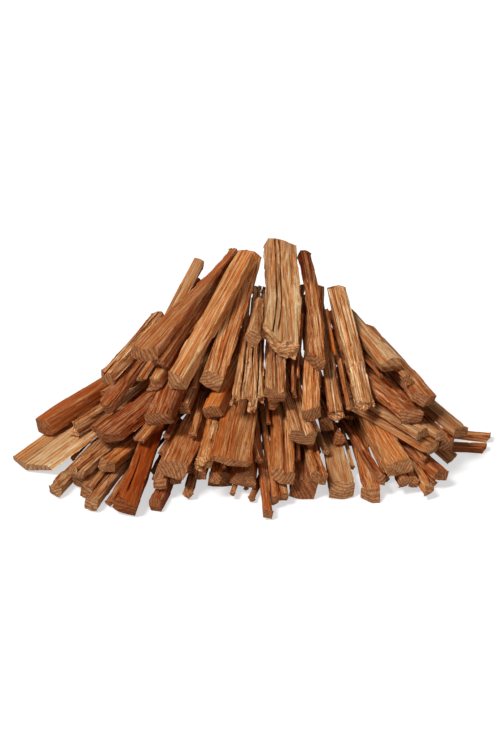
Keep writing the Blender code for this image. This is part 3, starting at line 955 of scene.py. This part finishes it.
def add_piece(name, shape, materials):
    mesh = bpy.data.meshes.new(name)
    points = np.vstack(shape.points)
    mesh.from_pydata(points.tolist(), [], shape.faces)
    for label, values in (("rings", shape.rings), ("fibres", shape.fibres), ("colour_and_painted_light", shape.colour_and_painted_light)):
        attribute = mesh.attributes.new(label, "FLOAT_VECTOR", "POINT")
        attribute.data.foreach_set("vector", np.vstack(values).astype(np.float32).ravel())
    grain = mesh.attributes.new("grain", "FLOAT", "POINT")
    grain.data.foreach_set("value", np.full(len(points), shape.grain, np.float32))
    for material in materials:
        mesh.materials.append(material)
    mesh.polygons.foreach_set("material_index", np.array(shape.sawn, dtype=np.int32))
    mesh.shade_smooth()
    mesh.set_sharp_from_angle(angle=SHARP)
    mesh.update()
    piece = bpy.data.objects.new(name, mesh)
    bpy.context.scene.collection.objects.link(piece)
    return piece


# Materials.

SMOOTH_GRAIN = 0.6  # how strong the fine lines are on a smooth stick
RIDGED_GRAIN = 1.0  # what is added to that on a ridged one
DARKEST_LINE = 0.06
SHADE_POWERS = (0.65, 1.15, 1.6)  # how much of the shade each of red, green and blue takes


class Nodes:
    """A material's node tree, with short ways to add to it."""

    def __init__(self, name):
        self.material = bpy.data.materials.new(name)
        self.material.use_nodes = True
        self.tree = self.material.node_tree
        self.surface = self.tree.nodes["Principled BSDF"]

    def join(self, value, socket):
        if isinstance(value, bpy.types.NodeSocket):
            self.tree.links.new(value, socket)
        elif value is not None:
            socket.default_value = value

    def add(self, kind, *values, **settings):
        """A node with these settings, its first inputs set or linked to the values."""
        node = self.tree.nodes.new(f"ShaderNode{kind}")
        for setting, value in settings.items():
            setattr(node, setting, value)
        for value, socket in zip(values, node.inputs):
            self.join(value, socket)
        return node

    def attribute(self, name, output="Vector"):
        return self.add("Attribute", attribute_name=name).outputs[output]

    def parts(self, vector):
        return self.add("SeparateXYZ", vector).outputs

    def vector(self, x, y, z):
        return self.add("CombineXYZ", x, y, z).outputs[0]

    def math(self, operation, a, b=None, clamp=False):
        return self.add("Math", a, b, operation=operation, use_clamp=clamp).outputs[0]

    def times(self, first, *others):
        for other in others:
            first = self.math("MULTIPLY", first, other)
        return first

    def plus(self, first, *others):
        for other in others:
            first = self.math("ADD", first, other)
        return first

    def scaled(self, vector, by):
        return self.add("VectorMath", vector, by, operation="MULTIPLY").outputs[0]

    def stretched(self, places, across, along, detail=2.0, rough=0.5):
        """Noise with this many bumps per metre across the fibres and along them."""
        node = self.add("TexNoise", self.scaled(places, (across, across, along)))
        node.inputs["Scale"].default_value = 1.0
        node.inputs["Detail"].default_value = detail
        node.inputs["Roughness"].default_value = rough
        return node.outputs[0]

    def ranged(self, value, start, end, low=0.0, high=1.0):
        node = self.add("MapRange", value, start, end, low, high, interpolation_type="SMOOTHSTEP")
        return node.outputs[0]

    def mix(self, share, a, b):
        node = self.add("Mix", data_type="RGBA")
        self.join(share, node.inputs["Factor"])
        self.join(colour(a), node.inputs[6])
        self.join(colour(b), node.inputs[7])
        return node.outputs[2]

    def brighten(self, tone, by):
        """The tone made brighter and paler, or darker and redder below 1."""
        powers = (self.math("POWER", by, power) for power in SHADE_POWERS)
        return self.scaled(tone, self.vector(*powers))

    def bumped(self, height, distance, strength):
        node = self.add("Bump")
        node.inputs["Strength"].default_value = strength
        node.inputs["Distance"].default_value = distance
        self.join(height, node.inputs["Height"])
        self.join(node.outputs[0], self.surface.inputs["Normal"])


def colour(value):
    return (*value, 1) if isinstance(value, tuple) else value


def year_part(nodes, fibres):
    """Which part of a year's growth a point is in, from 0 to 1."""
    side, up = nodes.parts(nodes.attribute("rings"))[:2]
    wobble = nodes.stretched(fibres, 260, 12, detail=2)
    wobble = nodes.times(nodes.math("SUBTRACT", wobble, 0.5), 0.5)
    squares = nodes.plus(nodes.times(side, side), nodes.times(up, up))
    year = nodes.plus(nodes.math("SQRT", squares), wobble)
    return nodes.math("FRACT", year)


def split_wood(name, early, late, soaked):
    """Split faces: growth lines, fibres, resin streaks and grey weathering, and shade painted into the
    cracks and, with dirt, into the ring grooves.
    """
    nodes = Nodes(name)
    fibres = nodes.attribute("fibres")
    # Its light holds painted shade in the cracks and a painted highlight along the edges; its resin holds
    # more painted shade in the cracks.
    light, resin, weather = nodes.parts(nodes.attribute("colour_and_painted_light"))
    part = year_part(nodes, fibres)
    late_wood = nodes.times(nodes.ranged(part, 0.35, 0.82), nodes.ranged(part, 1.0, 0.93))
    threads = nodes.stretched(fibres, 760, 22, detail=4, rough=0.65)
    bands = nodes.stretched(fibres, 190, 5, detail=3, rough=0.6)
    blotches = nodes.stretched(fibres, 110, 45, detail=4, rough=0.65)
    ticks = nodes.stretched(fibres, 1000, 170, detail=2)
    fissures = nodes.stretched(fibres, 420, 9, detail=2)
    tufts = nodes.stretched(fibres, 620, 70, detail=3, rough=0.6)
    streaks = nodes.ranged(bands, 0.42, 0.7, 0, 0.45)
    share = nodes.math("ADD", nodes.times(late_wood, 0.8), streaks, clamp=True)
    tone = nodes.mix(share, early, late)
    soaking = nodes.plus(resin, nodes.ranged(bands, 0.35, 0.7, -0.35, 0.55))
    soaking = nodes.math("MULTIPLY", soaking, nodes.ranged(blotches, 0.3, 0.6, 0.5, 1.1), clamp=True)
    tone = nodes.mix(soaking, tone, soaked)
    tone = nodes.mix(nodes.ranged(fissures, 0.58, 0.68, 0.0, 0.6), tone, early)
    greying = nodes.math("MULTIPLY", weather, nodes.ranged(blotches, 0.35, 0.65, 0.2, 1.3), clamp=True)
    tone = nodes.mix(greying, tone, WEATHERED)
    dry = nodes.ranged(soaking, 0.2, 0.9, 0.6, 0.2)
    tone = nodes.mix(nodes.times(nodes.ranged(tufts, 0.54, 0.66), dry), tone, TUFTS)
    # The last factor darkens a line at the start of each ring, where the early wood is carved into a
    # groove: partly dirt, partly painted shade in the groove.
    lines = nodes.times(nodes.ranged(threads, 0.3, 0.7, 0.5, 1.4),
                        nodes.ranged(ticks, 0.26, 0.4, 0.45, 1.0),
                        nodes.ranged(fissures, 0.3, 0.4, 0.3, 1.0),
                        nodes.ranged(part, 0.02, 0.3, 0.6, 1.06))
    lines = nodes.times(nodes.math("SUBTRACT", lines, 1.0), nodes.attribute("grain", "Fac"))
    lines = nodes.math("MAXIMUM", nodes.plus(lines, 1.0), DARKEST_LINE)
    shade = nodes.times(light, lines, nodes.ranged(blotches, 0.3, 0.7, 0.85, 1.12))
    nodes.join(nodes.brighten(tone, shade), nodes.surface.inputs["Base Color"])
    nodes.join(nodes.ranged(soaking, 0.0, 1.0, 0.72, 0.48), nodes.surface.inputs["Roughness"])
    nodes.surface.inputs["Specular IOR Level"].default_value = 0.14
    height = nodes.plus(nodes.times(late_wood, 0.5), threads, nodes.times(ticks, 0.35))
    nodes.bumped(height, 0.45 * MM, 0.8)
    return nodes.material


def sawn_wood(name, early, late):
    """Sawn ends: the rings end-on, saw marks, small checks and dirt."""
    nodes = Nodes(name)
    fibres = nodes.attribute("fibres")
    light = nodes.parts(nodes.attribute("colour_and_painted_light"))[0]
    part = year_part(nodes, fibres)
    late_wood = nodes.times(nodes.ranged(part, 0.3, 0.8), nodes.ranged(part, 1.0, 0.9))
    side, up = nodes.parts(fibres)[:2]
    marks = nodes.stretched(nodes.vector(nodes.times(side, 8.0), up, 0.0), 230, 1)
    pores = nodes.stretched(fibres, 900, 10, detail=3)
    dirt = nodes.stretched(fibres, 220, 10, detail=3)
    tone = nodes.mix(nodes.times(late_wood, 0.7), nodes.mix(0.65, early, SAWN_PALE),
                     nodes.mix(0.6, late, SAWN_DARK))
    tone = nodes.mix(nodes.ranged(dirt, 0.45, 0.75, 0.0, 0.6), tone, SAWN_DARK)
    shade = nodes.times(light, nodes.ranged(marks, 0.3, 0.7, 0.65, 1.0),
                        nodes.ranged(pores, 0.35, 0.6, 0.6, 1.08))
    nodes.join(nodes.brighten(tone, shade), nodes.surface.inputs["Base Color"])
    nodes.join(nodes.ranged(dirt, 0.3, 0.7, 0.75, 0.9), nodes.surface.inputs["Roughness"])
    nodes.surface.inputs["Specular IOR Level"].default_value = 0.1
    height = nodes.plus(nodes.times(late_wood, 0.6), nodes.plus(marks, pores))
    nodes.bumped(height, 0.35 * MM, 0.8)
    return nodes.material


def usual_look(chance):
    """A stick that nothing marks out."""
    return Look(ring=chance.uniform(2.4, 3.8), ridged=chance.uniform(0.3, 0.75),
                torn=chance.uniform(0.1, 0.4), light=chance.uniform(0.9, 1.12),
                resin=chance.uniform(0.05, 0.35), weather=chance.uniform(0.0, 0.3),
                foot=chance.uniform(0, 1.5))


def varied(look, chance):
    """A sheaf's look, a little different for each of its sticks."""
    return look._replace(ring=look.ring * chance.uniform(0.85, 1.15),
                         light=look.light * chance.uniform(0.85, 1.12),
                         resin=look.resin + chance.uniform(0, 0.25))


def wood_materials():
    """The split and the sawn look of each wood."""
    materials = {}
    for slot, (early, late, soaked) in WOODS.items():
        materials[slot] = (split_wood(f"{slot}_split", early, late, soaked),
                           sawn_wood(f"{slot}_sawn", early, late))
    return materials


def build_sticks(materials):
    for number, part in enumerate(frame["record"]["subparts"]):
        name = part["node"]
        slot = part["material_slot"]
        triangles = triangles_of(frame["nodes"][name])
        lies = lies_in(triangles)
        look = LOOKS.get(name) or usual_look(np.random.default_rng(1000 + number))
        for member, lie in enumerate(lies):
            chance = np.random.default_rng(100 * number + member)
            its_look = varied(look, chance) if len(lies) > 1 else look
            section_at = partial(section, triangles, lie, lies)
            shape = stick_shape(section_at, lie, its_look, FINE, chance)
            piece = add_piece(f"{name}_wood_{member + 1}", shape, materials[slot])
            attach(piece, "root")
            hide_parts(name)


def build_deep_sticks(materials):
    chance = np.random.default_rng(5)
    for number, (lie, radius) in enumerate(deep_lies(chance)):
        look = usual_look(chance)
        section_at = split_section(lie, radius, chance)
        shape = stick_shape(section_at, lie, look, COARSE, chance)
        slot = str(chance.choice(list(WOODS), p=DEEP_WOODS))
        piece = add_piece(f"deep_stick_{number + 1}", shape, materials[slot])
        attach(piece, "root")


# The studio.

FLOOR_SIZE = 30.0
FLOOR_TONE = 0.6
FLOOR_GLOW = 0.56  # seen by the camera only: it lifts the lit floor to white
AROUND = 0.13  # light from all round
VIEW_DISTANCE = 1.9
AIM = Vector((-0.002, -0.065, 0.106))  # from the ground under the heap's middle
FIELD = 0.75  # metres that the camera sees from bottom to top, at the object
SENSOR = 36.0


def white_floor():
    """A white floor that goes pure white for the camera and keeps the heap's shadow."""
    bpy.ops.mesh.primitive_plane_add(size=FLOOR_SIZE)
    floor = bpy.context.object
    floor.name = "studio_floor"
    floor.location.z = cad_box[0].z - 0.2 * MM
    material = bpy.data.materials.new("white_floor")
    material.use_nodes = True
    tree = material.node_tree
    surface = tree.nodes["Principled BSDF"]
    surface.inputs["Base Color"].default_value = (FLOOR_TONE, FLOOR_TONE, FLOOR_TONE, 1)
    surface.inputs["Roughness"].default_value = 1.0
    surface.inputs["Specular IOR Level"].default_value = 0.0
    path = tree.nodes.new("ShaderNodeLightPath")
    seen = tree.nodes.new("ShaderNodeMath")
    seen.operation = "MULTIPLY"
    seen.inputs[1].default_value = FLOOR_GLOW
    tree.links.new(path.outputs["Is Camera Ray"], seen.inputs[0])
    surface.inputs["Emission Color"].default_value = (1, 1, 1, 1)
    tree.links.new(seen.outputs[0], surface.inputs["Emission Strength"])
    floor.data.materials.append(material)
    floor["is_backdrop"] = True


def sun(name, strength, azimuth, elevation, width):
    """A soft studio light from far away. Azimuth 0 is the front, 90 the right."""
    data = bpy.data.lights.new(name, "SUN")
    data.energy = strength
    data.angle = math.radians(width)
    lamp = bpy.data.objects.new(name, data)
    azimuth, elevation = math.radians(azimuth), math.radians(elevation)
    lies = Vector((math.sin(azimuth) * math.cos(elevation), -math.cos(azimuth) * math.cos(elevation),
                   math.sin(elevation)))
    lamp.rotation_euler = lies.to_track_quat("Z", "Y").to_euler()
    bpy.context.scene.collection.objects.link(lamp)


def studio_light():
    sun("key_light", 2.7, -38, 50, 16)
    sun("front_light", 0.6, 20, 25, 60)
    world = bpy.data.worlds.new("studio")
    bpy.context.scene.world = world
    world.use_nodes = True
    tree = world.node_tree
    around = tree.nodes["Background"]
    around.inputs["Color"].default_value = (1, 1, 1, 1)
    path = tree.nodes.new("ShaderNodeLightPath")
    strength = tree.nodes.new("ShaderNodeMapRange")
    strength.inputs["To Min"].default_value = AROUND
    strength.inputs["To Max"].default_value = 1.0
    tree.links.new(path.outputs["Is Camera Ray"], strength.inputs["Value"])
    tree.links.new(strength.outputs[0], around.inputs["Strength"])
    bpy.context.scene.view_settings.view_transform = "Standard"


def add_camera():
    """Looks down on the front of the heap, with room over and under it."""
    low, high = cad_box
    middle = (low + high) / 2
    aim = Vector((middle.x, middle.y, 0)) + AIM
    data = bpy.data.cameras.new("camera")
    data.sensor_width = SENSOR
    data.lens = SENSOR * VIEW_DISTANCE / FIELD
    camera = bpy.data.objects.new("camera", data)
    camera.location = aim + TO_CAMERA * VIEW_DISTANCE
    camera.rotation_euler = TO_CAMERA.to_track_quat("Z", "Y").to_euler()
    bpy.context.scene.collection.objects.link(camera)
    bpy.context.scene.camera = camera


def write_sizes():
    boxes = {"cad": cad_box, "visual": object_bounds()}
    {name: [list(corner) for corner in box] for name, box in boxes.items()}


woods = wood_materials()
build_sticks(woods)
build_deep_sticks(woods)
white_floor()
studio_light()
add_camera()
write_sizes()
